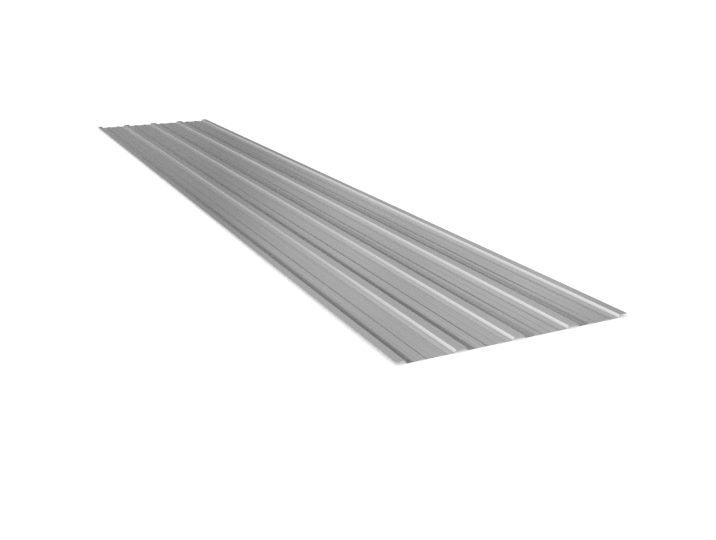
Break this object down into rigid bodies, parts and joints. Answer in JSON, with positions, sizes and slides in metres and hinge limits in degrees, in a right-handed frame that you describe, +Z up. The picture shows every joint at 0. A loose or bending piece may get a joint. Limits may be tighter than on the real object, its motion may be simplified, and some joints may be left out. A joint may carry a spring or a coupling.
{
  "type": "corrugated metal sheet",
  "caption": "Long trapezoidal corrugated steel roofing and cladding sheet, zinc coated, with wide stiffened pans between low ribs and open edge ribs for side laps.",
  "frame": {"origin": "centre of the sheet's footprint, on the plane that the pans' undersides rest on", "axes": "+X across the sheet, over the ribs; +Y along the ribs, towards one cut end; +Z up, the side that the ribs stand up on"},
  "size_m": [1.0276, 5.8, 0.0132],
  "materials": {
    "zinc_coated_steel": "smooth satin zinc coating on roll-formed steel, neutral grey, unpainted, clean"
  },
  "bodies": {
    "root": {"corrugated_sheet": "zinc_coated_steel"}
  },
  "joints": []
}
